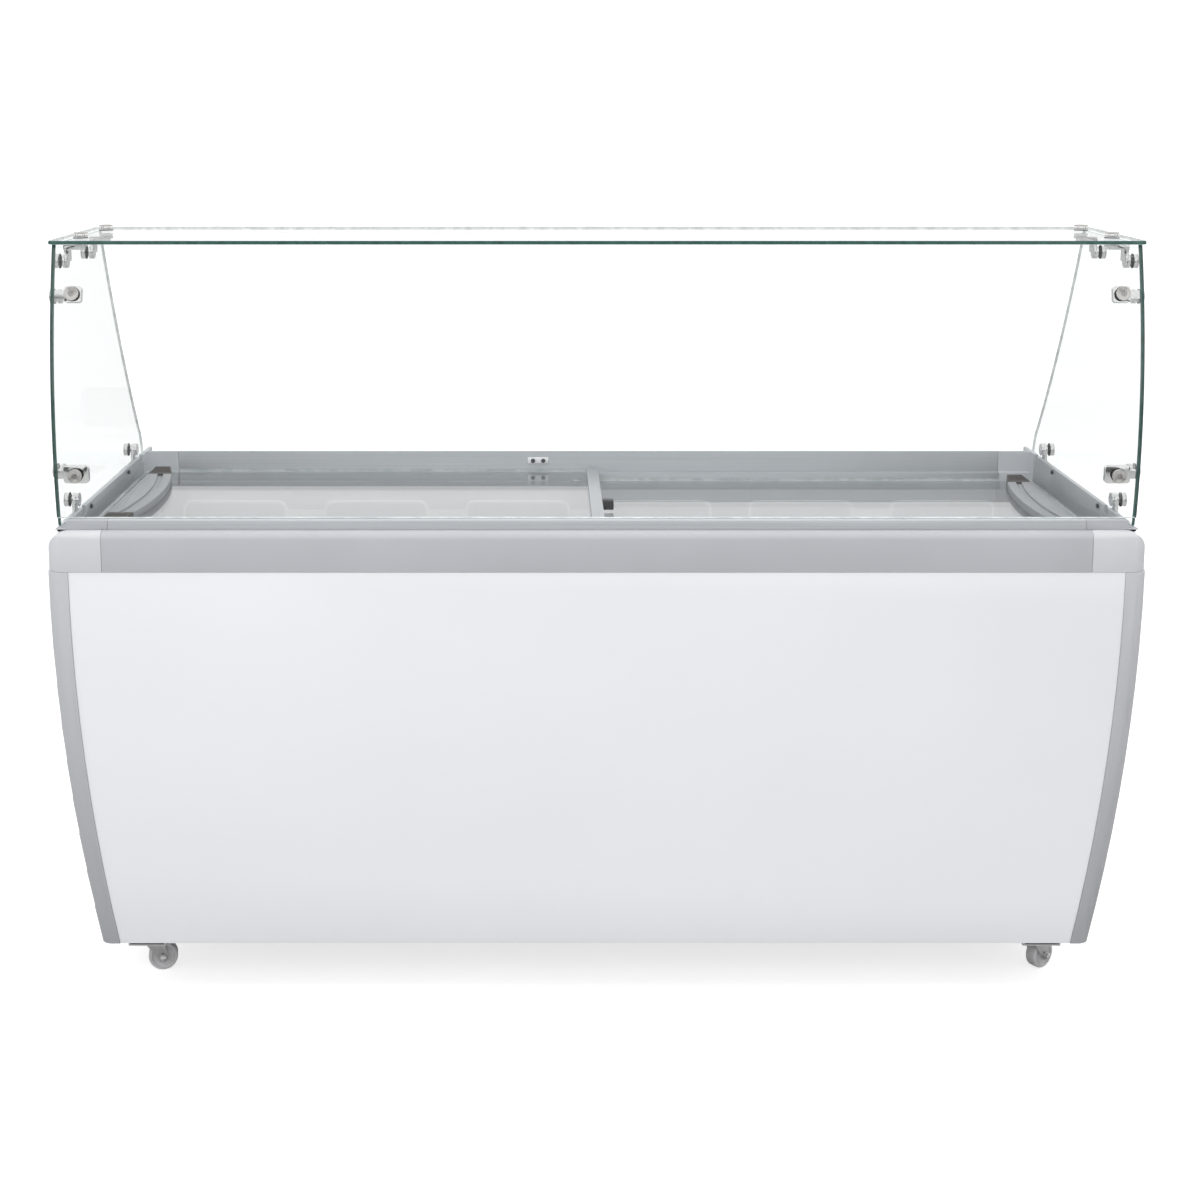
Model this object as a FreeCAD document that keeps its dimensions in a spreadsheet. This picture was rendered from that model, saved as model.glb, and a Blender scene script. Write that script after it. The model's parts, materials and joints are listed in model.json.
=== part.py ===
"""Serving chest freezer: a bowed cabinet on casters, two sliding glass lids and a glass canopy.

Millimetres. X runs along the width, Y from the customer's side (front, -Y) to the server's side
(rear, +Y), Z up. The origin is on the floor, under the middle of the cabinet.
"""
import FreeCAD, Part
import math
import os
import Sketcher
from FreeCAD import Vector, Rotation, Placement

doc = FreeCAD.newDocument("ServingFreezer")
sheet = doc.addObject("Spreadsheet::Sheet", "Sizes")


class Dim:
    """A size that carries both its sheet expression and its value."""

    def __init__(self, text, value):
        self.text = text
        self.value = float(value)

    def join(self, other, sign, value, flip=False):
        other = as_dim(other)
        first, second = (other, self) if flip else (self, other)
        return Dim(f"({first.text} {sign} {second.text})", value(first.value, second.value))

    def __add__(self, other):
        return self.join(other, "+", lambda p, q: p + q)

    def __radd__(self, other):
        return self.join(other, "+", lambda p, q: p + q, flip=True)

    def __sub__(self, other):
        return self.join(other, "-", lambda p, q: p - q)

    def __rsub__(self, other):
        return self.join(other, "-", lambda p, q: p - q, flip=True)

    def __mul__(self, other):
        return self.join(other, "*", lambda p, q: p * q)

    def __rmul__(self, other):
        return self.join(other, "*", lambda p, q: p * q, flip=True)

    def __truediv__(self, other):
        return self.join(other, "/", lambda p, q: p / q)

    def __neg__(self):
        return Dim(f"(0 - {self.text})", -self.value)


def as_dim(number):
    return number if isinstance(number, Dim) else Dim(repr(float(number)), number)


def size(alias, number):
    """A new row of the sheet: its name, its plain number and its alias."""
    size.row += 1
    sheet.set(f"A{size.row}", alias)
    sheet.set(f"B{size.row}", str(number))
    sheet.setAlias(f"B{size.row}", alias)
    return Dim(f"Sizes.{alias}", number)


size.row = 0

# cabinet
bodyWidth = size("bodyWidth", 1800)
bodyDepth = size("bodyDepth", 680)
baseZ = size("baseZ", 88)
bandZ = size("bandZ", 732)
bandTopZ = size("bandTopZ", 800)
bowRadius = size("bowRadius", 3175)
panelHalf = size("panelHalf", 864.4)
panelBow = size("panelBow", 3344)
sheetThick = size("sheetThick", 1.2)
baseThick = size("baseThick", 1.5)
channelThick = size("channelThick", 2.5)
pillarWide = size("pillarWide", 36)
pillarRound = size("pillarRound", 18)
bandThick = size("bandThick", 26)
bandRound = size("bandRound", 14)
cornerReach = size("cornerReach", 91)
cornerRound = size("cornerRound", 38)
seam = size("seam", 0.3)
# collar and lids
collarTopZ = size("collarTopZ", 816)
collarHalf = size("collarHalf", 862)
collarCornerX = size("collarCornerX", 800)
upperLidZ = size("upperLidZ", 776)
lowerLidZ = size("lowerLidZ", 760)
lidGlass = size("lidGlass", 5)
collarBottomZ = size("collarBottomZ", 745)
lipFront = size("lipFront", 15)
wallFront = size("wallFront", 36)
wallRear = size("wallRear", 615)
handleOuterX = size("handleOuterX", 836)
handleInnerX = size("handleInnerX", 776)
handleRadius = size("handleRadius", 900)
handleHigh = size("handleHigh", 14)
handleMid = size("handleMid", 335)
handleLong = size("handleLong", 470)
gripLong = size("gripLong", 70)
# liner and insulation
linerHalf = size("linerHalf", 832)
linerFront = size("linerFront", 58)
linerRear = size("linerRear", 588)
linerFloorZ = size("linerFloorZ", 180)
linerWall = size("linerWall", 1)
stepX = size("stepX", 470)
stepZ = size("stepZ", 440)
padTopZ = size("padTopZ", 724)
padBottomZ = size("padBottomZ", 500)
padWide = size("padWide", 203)
padPitch = size("padPitch", 275)
padProud = size("padProud", 5)
machineX = size("machineX", 508)
machineTopZ = size("machineTopZ", 398)
coilTube = size("coilTube", 4)
coilPitch = size("coilPitch", 40)
drainX = size("drainX", -600)
drainBore = size("drainBore", 12.3)
# canopy
glassHalf = size("glassHalf", 886)
glassThick = size("glassThick", 5)
glassRadius = size("glassRadius", 1000)
glassCentreZ = size("glassCentreZ", 952)
glassFront = size("glassFront", 20)
glassTopZ = size("glassTopZ", 1263)
glassFootZ = size("glassFootZ", 802.5)
topHalf = size("topHalf", 890)
topFront = size("topFront", 57)
topRear = size("topRear", 392)
topThick = size("topThick", 6)
clampDisc = size("clampDisc", 11.5)
clampTopX = size("clampTopX", 851)
postFront = size("postFront", 120)
postRear = size("postRear", 570)
postGap = size("postGap", 20)
# casters
wheelRadius = size("wheelRadius", 25)
wheelWide = size("wheelWide", 20)
casterX = size("casterX", 765)
casterDepth = size("casterDepth", 90)
casterTrail = size("casterTrail", 16)
casterTopZ = size("casterTopZ", 65)
axleRadius = size("axleRadius", 4)
runningFit = size("runningFit", 0.05)
forkPlate = size("forkPlate", 2.5)
frontLeftTurn = size("frontLeftTurn", 10)
frontRightTurn = size("frontRightTurn", 37)
# machine compartment
openingLow = size("openingLow", 531)
openingHigh = size("openingHigh", 779)
grilleLowZ = size("grilleLowZ", 111)
grilleHighZ = size("grilleHighZ", 303)
controlHighZ = size("controlHighZ", 389)
knobX = size("knobX", 600)
switchX = size("switchX", 680)
glandX = size("glandX", 740)
controlZ = size("controlZ", 347)
knobRadius = size("knobRadius", 19)
shaftRadius = size("shaftRadius", 4)
fanX = size("fanX", 668)
fanZ = size("fanZ", 214)
fanRadius = size("fanRadius", 92)
compressorX = size("compressorX", 645)
compressorDepth = size("compressorDepth", 250)

doc.recompute()

halfWidth = bodyWidth / 2
halfDepth = bodyDepth / 2
nodes = {}


def deep(distance):
    """Y of a point this far behind the cabinet's front."""
    return as_dim(distance) - halfDepth


def node(label, thing):
    """Names a finished sub-part, so that it is checked and written."""
    thing.Label = label
    nodes[label] = thing
    return thing


def bind(thing, prop, value):
    thing.setExpression(prop, as_dim(value).text)


def place(thing, x, y, z):
    bind(thing, "Placement.Base.x", x)
    bind(thing, "Placement.Base.y", y)
    bind(thing, "Placement.Base.z", z)


def box(x, y, z):
    """A block between two values on each axis."""
    thing = doc.addObject("Part::Box", "Block")
    for prop, (low, high) in (("Length", x), ("Width", y), ("Height", z)):
        bind(thing, prop, as_dim(high) - low)
    place(thing, x[0], y[0], z[0])
    return thing


alongX = Rotation(Vector(0, 1, 0), 90)
alongY = Rotation(Vector(1, 0, 0), -90)


def rod(radius, x, y, z):
    """A cylinder along the one axis that is given as a pair."""
    thing = doc.addObject("Part::Cylinder", "Round")
    bind(thing, "Radius", radius)
    if isinstance(x, tuple):
        thing.Placement = Placement(Vector(), alongX)
        bind(thing, "Height", as_dim(x[1]) - x[0])
        place(thing, x[0], y, z)
    elif isinstance(y, tuple):
        thing.Placement = Placement(Vector(), alongY)
        bind(thing, "Height", as_dim(y[1]) - y[0])
        place(thing, x, y[0], z)
    else:
        bind(thing, "Height", as_dim(z[1]) - z[0])
        place(thing, x, y, z[0])
    return thing


def fuse(*things):
    thing = doc.addObject("Part::MultiFuse", "Joined")
    thing.Shapes = list(things)
    return thing


def common(*things):
    thing = doc.addObject("Part::MultiCommon", "Shared")
    thing.Shapes = list(things)
    return thing


def cut(base, *tools):
    """The base less each tool in turn."""
    for tool in tools:
        thing = doc.addObject("Part::Cut", "Less")
        thing.Base = base
        thing.Tool = tool
        base = thing
    return base


def group(*things):
    """Separate solids that share one node."""
    thing = doc.addObject("Part::Compound", "Group")
    thing.Links = list(things)
    return thing


def twin(thing, normal):
    """The mirror image of a piece through the cabinet's middle."""
    copy = doc.addObject("Part::Mirroring", "Twin")
    copy.Source = thing
    copy.Base = Vector()
    copy.Normal = normal
    return copy


acrossX = Vector(1, 0, 0)
acrossY = Vector(0, 1, 0)


def solid(shape):
    """A feature whose shape is worked out from the sheet's values."""
    thing = doc.addObject("Part::Feature", "Made")
    thing.Shape = shape
    return thing


def edges_where(shape, test):
    return [f"Edge{i}" for i, edge in enumerate(shape.Edges, 1) if test(edge)]


def pad(plane, points, low, high, rounds=()):
    """A body: a polygon on an origin plane, padded from low to high, with rounded edges.

    Each entry of rounds is a radius and the two sketch coordinates of an edge along the pad.
    """
    body = doc.addObject("PartDesign::Body", "Body")
    sketch = body.newObject("Sketcher::SketchObject", "Outline")
    origin = {part.Role: part for part in body.Origin.OriginFeatures}
    sketch.AttachmentSupport = [(origin[plane + "_Plane"], "")]
    sketch.MapMode = "FlatFace"
    backwards = plane == "XZ"
    start = -as_dim(high) if backwards else as_dim(low)
    sketch.setExpression("AttachmentOffset.Base.z", start.text)
    corners = [(as_dim(u), as_dim(v)) for u, v in points]
    count = len(corners)
    for i in range(count):
        ends = [Vector(corners[k][0].value, corners[k][1].value) for k in (i, (i + 1) % count)]
        sketch.addGeometry(Part.LineSegment(*ends))
    for i in range(count):
        sketch.addConstraint(Sketcher.Constraint("Coincident", i, 2, (i + 1) % count, 1))
    for i, corner in enumerate(corners):
        for kind, axis, value in (("DistanceX", -2, corner[0]), ("DistanceY", -1, corner[1])):
            if abs(value.value) < 1e-9:
                sketch.addConstraint(Sketcher.Constraint("PointOnObject", i, 1, axis))
                continue
            index = sketch.addConstraint(Sketcher.Constraint(kind, -1, 1, i, 1, value.value))
            sketch.setExpression(f"Constraints[{index}]", value.text)
    feature = body.newObject("PartDesign::Pad", "Pad")
    feature.Profile = sketch
    bind(feature, "Length", as_dim(high) - low)
    for radius, u, v in rounds:
        doc.recompute()
        u, v = as_dim(u).value, as_dim(v).value
        spot = {"XY": Vector(u, v, 0), "XZ": Vector(u, 0, v), "YZ": Vector(0, u, v)}[plane]
        along = {"XY": Vector(0, 0, 1), "XZ": Vector(0, 1, 0), "YZ": Vector(1, 0, 0)}[plane]

        def here(edge):
            gap = edge.CenterOfMass - spot
            return (gap - along * gap.dot(along)).Length < 0.01

        names = edges_where(feature.Shape, here)
        fillet = body.newObject("PartDesign::Fillet", "Round")
        fillet.Base = (feature, names)
        bind(fillet, "Radius", radius)
        feature = fillet
    body.Tip = feature
    return body


def bowed(half, radius, x, y, z):
    """A block whose two ends bow inwards from the band down."""
    left = rod(radius, radius - half, y, bandZ)
    right = rod(radius, half - radius, y, bandZ)
    return common(box(x, y, z), left, right)


# ---- panels and pillars
frontSheet = deep(sheetThick)
panelZ = (baseZ, bandZ)
node("front_panel", bowed(
    panelHalf - seam, panelBow, (-halfWidth, halfWidth), (frontSheet, frontSheet + sheetThick), panelZ))
rearSheet = bowed(
    panelHalf - seam, panelBow, (-halfWidth, halfWidth), (-frontSheet - sheetThick, -frontSheet), panelZ)
machineOpening = box((openingLow - 1, openingHigh + 1), (halfDepth - 20, halfDepth + 1),
                     (grilleLowZ - 1, controlHighZ + 1))
node("rear_panel", cut(rearSheet, machineOpening))


def end_shell(outer_inset, inner_inset, y):
    outer = bowed(halfWidth - outer_inset, bowRadius - outer_inset, (0, halfWidth), y, panelZ)
    inner = rod(bowRadius - inner_inset, halfWidth - bowRadius, y, bandZ)
    return cut(outer, inner)


endY = (deep(pillarWide) + seam, -deep(pillarWide) - seam)
rightEnd = node("right_end_panel", end_shell(sheetThick, sheetThick * 2, endY))
node("left_end_panel", twin(rightEnd, acrossX))


def pillar():
    """A corner post: its outer side follows the bow, its outer upright edge is rounded."""
    y = (-halfDepth, deep(pillarWide))
    block = bowed(halfWidth, bowRadius, (halfWidth - 200, halfWidth), y, panelZ)
    block = cut(block, rod(panelBow, panelHalf - panelBow, (y[0] - 1, y[1] + 1), bandZ))
    doc.recompute()
    front = -halfDepth.value

    def outer(edge):
        high = edge.BoundBox.ZLength > 300 and abs(edge.CenterOfMass.y - front) < 0.01
        return high and edge.BoundBox.XMax > halfWidth.value - 1

    post = doc.addObject("Part::Fillet", "Post")
    post.Base = block
    numbers = [int(name[4:]) for name in edges_where(block.Shape, outer)]
    post.Edges = [(number, pillarRound.value, pillarRound.value) for number in numbers]
    return post


frontRight = pillar()
frontLeft = twin(frontRight, acrossX)
node("front_pillars", group(frontRight, frontLeft))
node("rear_pillars", group(twin(frontRight, acrossY), twin(frontLeft, acrossY)))

# ---- band round the top
bandHalf = halfWidth - cornerReach - seam
bandBack = deep(bandThick)
frontBand = node("front_band", pad(
    "YZ", [(-halfDepth, bandZ), (bandBack, bandZ), (bandBack, bandTopZ), (-halfDepth, bandTopZ)],
    -bandHalf, bandHalf, rounds=[(bandRound, -halfDepth, bandTopZ)]))
node("rear_band", twin(frontBand, acrossY))
endBandSection = [(halfWidth - bandThick, bandZ), (halfWidth, bandZ), (halfWidth, bandTopZ),
                  (halfWidth - cornerRound - 2, bandTopZ), (halfWidth - cornerRound - 2, bandTopZ - 10),
                  (halfWidth - bandThick, bandTopZ - 10)]
endBandY = (deep(cornerReach) + seam, -deep(cornerReach) - seam)
endRound = [(cornerRound, halfWidth, bandTopZ)]
endProfile = pad("XZ", endBandSection, *endBandY, rounds=endRound)
collarRoom = box((halfWidth - cornerRound - 3, glassHalf - 4), (endBandY[0] - 1, endBandY[1] + 1),
                 (bandZ - 1, bandTopZ + 1))
rightBand = node("right_band", cut(endProfile, collarRoom))
node("left_band", twin(rightBand, acrossX))


def band_corner():
    """The moulded corner: the meeting of three rounded outlines, hollowed from behind."""
    x0, y1 = halfWidth - cornerReach, deep(cornerReach)
    side = pad("XZ", [(x0, bandZ), (halfWidth, bandZ), (halfWidth, bandTopZ), (x0, bandTopZ)],
               -halfDepth, y1, rounds=[(cornerRound, halfWidth, bandTopZ)])
    front = pad("YZ", [(-halfDepth, bandZ), (y1, bandZ), (y1, bandTopZ), (-halfDepth, bandTopZ)],
                x0, halfWidth, rounds=[(bandRound, -halfDepth, bandTopZ)])
    plan = pad("XY", [(x0, -halfDepth), (halfWidth, -halfDepth), (halfWidth, y1), (x0, y1)],
               bandZ, bandTopZ, rounds=[(bandThick, halfWidth, -halfDepth)])
    hollow = box((x0 - 1, halfWidth - bandThick), (bandBack, y1 + 1), (bandZ - 1, bandTopZ + 1))
    return cut(common(side, front, plan), hollow)


cornerOne = band_corner()
cornerTwo = twin(cornerOne, acrossX)
node("band_corners", group(cornerOne, cornerTwo, twin(cornerOne, acrossY), twin(cornerTwo, acrossY)))

# ---- collar: folded lengths with an upper and a lower ledge for the lids
fold = 3
ledgeUp, ledgeLow = wallFront + 10, wallFront + 22
frontSection = [
    (deep(lipFront), bandTopZ), (deep(lipFront), collarTopZ), (deep(wallFront), collarTopZ),
    (deep(wallFront), upperLidZ), (deep(ledgeUp), upperLidZ), (deep(ledgeUp), lowerLidZ),
    (deep(ledgeLow), lowerLidZ), (deep(ledgeLow), collarBottomZ), (deep(ledgeLow - fold), collarBottomZ),
    (deep(ledgeLow - fold), lowerLidZ - fold), (deep(ledgeUp - fold), lowerLidZ - fold),
    (deep(ledgeUp - fold), upperLidZ - fold), (deep(wallFront - fold), upperLidZ - fold),
    (deep(wallFront - fold), collarTopZ - fold), (deep(lipFront + fold), collarTopZ - fold),
    (deep(lipFront + fold), bandTopZ)]
rearUp, rearLow, flangeRear = wallRear - 12, wallRear - 27, wallRear + 52
rearSection = [
    (deep(flangeRear), bandTopZ), (deep(flangeRear), bandTopZ + fold), (deep(wallRear + 7), bandTopZ + fold),
    (deep(wallRear + 7), collarTopZ), (deep(wallRear), collarTopZ), (deep(wallRear), upperLidZ),
    (deep(rearUp), upperLidZ), (deep(rearUp), lowerLidZ), (deep(rearLow), lowerLidZ),
    (deep(rearLow), collarBottomZ), (deep(rearLow + fold), collarBottomZ),
    (deep(rearLow + fold), lowerLidZ - fold), (deep(rearUp + fold), lowerLidZ - fold),
    (deep(rearUp + fold), upperLidZ - fold), (deep(wallRear + fold), upperLidZ - fold),
    (deep(wallRear + fold), bandTopZ)]
sideSection = [
    (glassHalf - 2, bandTopZ - 6), (glassHalf, bandTopZ - 6), (glassHalf, bandTopZ + 2),
    (collarHalf + 7, bandTopZ + 2), (collarHalf + 7, collarTopZ), (collarHalf, collarTopZ),
    (collarHalf, collarBottomZ + 5), (linerHalf, collarBottomZ + 5), (linerHalf, collarBottomZ),
    (collarHalf + 4, collarBottomZ), (collarHalf + 4, bandTopZ - 1), (glassHalf - 2, bandTopZ - 1)]
collarSpan = collarCornerX - seam
node("front_collar", pad("YZ", frontSection, -collarSpan, collarSpan))
node("rear_collar", pad("YZ", rearSection, -collarSpan, collarSpan))
sideFront, sideRear = deep(ledgeLow) + seam, deep(rearLow) - seam


def post_notch(at):
    """Room for a canopy post: through the wall's top and through the flange."""
    y = (deep(at) - postGap / 2, deep(at) + postGap / 2)
    wall = box((collarHalf - 1, collarHalf + 8), y, (bandTopZ + 2, collarTopZ + 1))
    flange = box((collarHalf + 4, glassHalf - 4.5), y, (bandTopZ - 10, bandTopZ + 3))
    return fuse(wall, flange)


sideLength = pad("XZ", sideSection, sideFront, sideRear)
rightCollar = node("right_collar", cut(sideLength, post_notch(postFront), post_notch(postRear)))
node("left_collar", twin(rightCollar, acrossX))


def collar_corner(section, y, band_y):
    """A plastic corner: a stub of the long section met by a stub of the side section."""
    along = pad("YZ", section, collarCornerX, collarHalf + 2)
    across = pad("XZ", sideSection, *y)
    band_room = box((linerHalf - 2, halfWidth), band_y, (collarBottomZ - 1, bandTopZ))
    return fuse(along, cut(across, band_room))


frontCorner = collar_corner(frontSection, (deep(lipFront), deep(ledgeLow)),
                            (-halfDepth, bandBack + 0.5))
rearCorner = collar_corner(rearSection, (deep(rearLow), deep(flangeRear)),
                           (-bandBack - 0.5, halfDepth))
node("collar_corners", group(frontCorner, twin(frontCorner, acrossX), rearCorner, twin(rearCorner, acrossX)))

# ---- liner with its step and pressed pads
def cavity(grow, top):
    """The cavity's outline along X, grown outwards by the wall."""
    floor = linerFloorZ - grow
    outline = [(-linerHalf - grow, top), (-linerHalf - grow, floor), (stepX + grow, floor),
               (stepX + grow, stepZ - grow), (linerHalf + grow, stepZ - grow), (linerHalf + grow, top)]
    soft = as_dim(24) + grow
    return pad("XZ", outline, deep(linerFront) - grow, deep(linerRear) + grow,
               rounds=[(soft, -linerHalf - grow, floor), (soft, stepX + grow, floor),
                       (soft, linerHalf + grow, stepZ - grow)])


linerShell = cut(cavity(linerWall, collarBottomZ), cavity(as_dim(0), collarBottomZ + 1))
drainHole = rod(drainBore + 1.7, drainX, 0, (baseZ - 5, linerFloorZ + 1))
linerPads = []
for column in range(6):
    middle = padPitch * (column - 2.5)
    for y in ((deep(linerFront) - 0.5, deep(linerFront) + padProud),
              (deep(linerRear) - padProud, deep(linerRear) + 0.5)):
        face = [(middle - padWide / 2, padBottomZ), (middle + padWide / 2, padBottomZ),
                (middle + padWide / 2, padTopZ), (middle - padWide / 2, padTopZ)]
        linerPads.append(pad("XZ", face, *y, rounds=[(18, u, v) for u, v in face]))
node("liner", cut(fuse(linerShell, *linerPads), drainHole))

# ---- insulation, evaporator and base
foamY = (deep(4), -deep(4))
foamBlock = bowed(halfWidth - 4, bowRadius - 4, (-halfWidth, halfWidth), foamY, (baseZ + 6, bandZ - 1))
postRooms = [box((side[0], side[1]), ends, (baseZ, bandZ)) for side in
             ((halfWidth - 110, halfWidth), (-halfWidth, 110 - halfWidth)) for ends in
             ((-halfDepth, deep(pillarWide + 1)), (-deep(pillarWide + 1), halfDepth))]
machineRoom = box((machineX, halfWidth), (deep(72), halfDepth), (baseZ, machineTopZ))
node("foam_insulation", cut(
    foamBlock, cavity(linerWall + 13, bandZ + 1), machineRoom, drainHole, *postRooms))


def evaporator():
    """One tube that laps the liner to and fro, joined by bends at the rear."""
    gap, tube, pitch, bend = 8.0, coilTube.value, coilPitch.value, 16.0
    half = linerHalf.value + linerWall.value + gap
    front = deep(linerFront).value - linerWall.value - gap
    rear = deep(linerRear).value + linerWall.value + gap
    low, laps, mouth = 472.0, 6, 60.0

    def lap(z, side):
        inset = bend * (1 - math.sqrt(0.5))
        s = side
        return [
            Part.LineSegment(Vector(s * mouth, rear, z), Vector(s * (half - bend), rear, z)),
            Part.Arc(Vector(s * (half - bend), rear, z), Vector(s * (half - inset), rear - inset, z),
                     Vector(s * half, rear - bend, z)),
            Part.LineSegment(Vector(s * half, rear - bend, z), Vector(s * half, front + bend, z)),
            Part.Arc(Vector(s * half, front + bend, z), Vector(s * (half - inset), front + inset, z),
                     Vector(s * (half - bend), front, z)),
            Part.LineSegment(Vector(s * (half - bend), front, z), Vector(-s * (half - bend), front, z)),
            Part.Arc(Vector(-s * (half - bend), front, z), Vector(-s * (half - inset), front + inset, z),
                     Vector(-s * half, front + bend, z)),
            Part.LineSegment(Vector(-s * half, front + bend, z), Vector(-s * half, rear - bend, z)),
            Part.Arc(Vector(-s * half, rear - bend, z), Vector(-s * (half - inset), rear - inset, z),
                     Vector(-s * (half - bend), rear, z)),
            Part.LineSegment(Vector(-s * (half - bend), rear, z), Vector(-s * mouth, rear, z))]

    path, side = [], 1
    for number in range(laps):
        z = low + pitch * number
        path += lap(z, side)
        if number < laps - 1:
            reach = -side * (mouth - pitch / 2)
            path.append(Part.Arc(Vector(-side * mouth, rear, z), Vector(reach, rear, z + pitch / 2),
                                 Vector(-side * mouth, rear, z + pitch)))
            side = -side
    wire = Part.Wire([curve.toShape() for curve in path])
    start = Vector(mouth, rear, low)
    ring = Part.Wire([Part.Circle(start, Vector(1, 0, 0), tube).toShape()])
    return wire.makePipeShell([ring], True, False)


node("evaporator_coil", solid(evaporator()))
basePlate = bowed(halfWidth - 3, bowRadius - 3, (-halfWidth, halfWidth), (deep(3), -deep(3)),
                  (baseZ, baseZ + baseThick))
baseRooms = [box((side[0], side[1]), ends, (baseZ - 1, baseZ + 5)) for side in
             ((halfWidth - 110, halfWidth), (-halfWidth, 110 - halfWidth)) for ends in
             ((-halfDepth, deep(pillarWide + 0.5)), (-deep(pillarWide + 0.5), halfDepth))]


def channel(side):
    """A cross-member under the base: an upward-facing channel that carries two casters."""
    low, high = side * casterX - 32, side * casterX + 32
    outer = box((low, high), (deep(40), -deep(40)), (casterTopZ, baseZ))
    hollow = box((low + channelThick, high - channelThick), (deep(39), -deep(39)),
                 (casterTopZ + channelThick, baseZ))
    return cut(outer, hollow)


channels = [channel(side) for side in (-1, 1)]
node("base_frame", cut(fuse(cut(basePlate, *baseRooms), *channels), drainHole))


# ---- casters
def caster(name, side, end, turn):
    """A swivel caster: its fork, with the axle and nuts, and its wheel. It trails towards +X."""
    spin = Rotation(Vector(0, 0, 1), turn.value)
    spot = Vector(side * casterX.value, end * -deep(casterDepth).value, 0)
    stand = Placement(spot, spin)
    wide, hub, top = wheelWide.value / 2, wheelRadius.value, casterTopZ.value
    trail, plate, pin = casterTrail.value, forkPlate.value, axleRadius.value

    def leg(y):
        outline = [Vector(-17, y, top - 9), Vector(17, y, top - 9), Vector(trail + 9, y, hub),
                   Vector(trail - 9, y, hub)]
        sheet_part = Part.Face(Part.makePolygon(outline + outline[:1])).extrude(Vector(0, plate, 0))
        eye = Part.makeCylinder(9, plate, Vector(trail, y, hub), Vector(0, 1, 0))
        return sheet_part.fuse(eye)

    crown = Part.makeBox(36, 2 * (wide + 1.5 + plate), 3, Vector(-18, -(wide + 1.5 + plate), top - 9))
    race = Part.makeCylinder(19, 3, Vector(0, 0, top - 6.2))
    fork = crown.fuse([leg(wide + 1.5), leg(-wide - 1.5 - plate), race])
    bore = Part.makeCylinder(pin + 0.02, 80, Vector(trail, -40, hub), Vector(0, 1, 0))
    fork = fork.cut(bore).removeSplitter()
    reach = wide + 1.5 + plate
    axle = Part.makeCylinder(pin, 2 * reach + 8, Vector(trail, -reach - 4, hub), Vector(0, 1, 0))
    for y in (-reach - 4.5, reach + 0.1):
        points = [Vector(trail + 7 * math.cos(k * math.pi / 3), y, hub + 7 * math.sin(k * math.pi / 3))
                  for k in range(6)]
        axle = axle.fuse(Part.Face(Part.makePolygon(points + points[:1])).extrude(Vector(0, 4.4, 0)))
    wheel = Part.makeCylinder(hub, 2 * wide, Vector(trail, -wide, hub), Vector(0, 1, 0))
    rims = [edge for edge in wheel.Edges if isinstance(edge.Curve, Part.Circle)]
    wheel = wheel.makeFillet(3, rims)
    for y, direction in ((-wide - 1, 1), (wide + 1, -1)):
        dish = Part.makeCylinder(hub - 6, 3.5, Vector(trail, y, hub), Vector(0, direction, 0))
        boss = Part.makeCylinder(9, 3.5, Vector(trail, y, hub), Vector(0, direction, 0))
        wheel = wheel.cut(dish.cut(boss))
    wheel = wheel.cut(Part.makeCylinder(pin + runningFit.value, 60, Vector(trail, -30, hub), Vector(0, 1, 0)))
    for label, shape in (("fork", Part.makeCompound([fork, axle.removeSplitter()])), ("wheel", wheel)):
        piece = solid(shape)
        piece.Placement = stand
        node(f"{name}_{label}", piece)


caster("front_left_caster", -1, -1, frontLeftTurn)
caster("front_right_caster", 1, -1, frontRightTurn)
caster("rear_left_caster", -1, 1, as_dim(0))
caster("rear_right_caster", 1, 1, as_dim(0))
plates = [box((side * casterX - 28, side * casterX + 28), (end * -deep(casterDepth) - 24,
              end * -deep(casterDepth) + 24), (casterTopZ - 3, casterTopZ))
          for side in (-1, 1) for end in (-1, 1)]
node("caster_plates", group(*plates))


# ---- machine compartment
def pipe(points, radius, bend):
    """A tube along straight runs joined by tangent arcs."""
    curves, start = [], points[0]
    for before, corner, after in zip(points, points[1:], points[2:]):
        back = (before - corner).normalize()
        ahead = (after - corner).normalize()
        half = back.getAngle(ahead) / 2
        reach = bend / math.tan(half)
        centre = corner + (back + ahead).normalize() * (bend / math.sin(half))
        middle = centre + (corner - centre).normalize() * bend
        first, last = corner + back * reach, corner + ahead * reach
        curves += [Part.LineSegment(start, first), Part.Arc(first, middle, last)]
        start = last
    curves.append(Part.LineSegment(start, points[-1]))
    wire = Part.Wire([curve.toShape() for curve in curves])
    ring = Part.Wire([Part.Circle(points[0], points[1] - points[0], radius).toShape()])
    return wire.makePipeShell([ring], True, False)


plateTop = baseZ + baseThick


def compressor():
    """A hermetic shell: two deep-drawn halves with a weld rim, on a four-footed plate."""
    x, y, z = compressorX.value, deep(compressorDepth).value, plateTop.value + 14
    outline = [Vector(0, 0, z), Vector(70, 0, z), Vector(84, 0, z + 22), Vector(84, 0, z + 96),
               Vector(89, 0, z + 98), Vector(89, 0, z + 106), Vector(84, 0, z + 108),
               Vector(82, 0, z + 150), Vector(60, 0, z + 178), Vector(0, 0, z + 190)]
    shell = Part.Face(Part.makePolygon(outline + outline[:1])).revolve(Vector(), Vector(0, 0, 1), 360)
    shell = shell.cut(Part.makeCylinder(74, 140, Vector(0, 0, z + 12)))
    shell.translate(Vector(x, y, 0))
    foot = Part.makeBox(190, 130, 4, Vector(x - 95, y - 65, z - 3))
    relay = Part.makeBox(26, 60, 56, Vector(x - 106, y - 30, z + 36))
    return shell.fuse([foot, relay]).removeSplitter()


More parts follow.
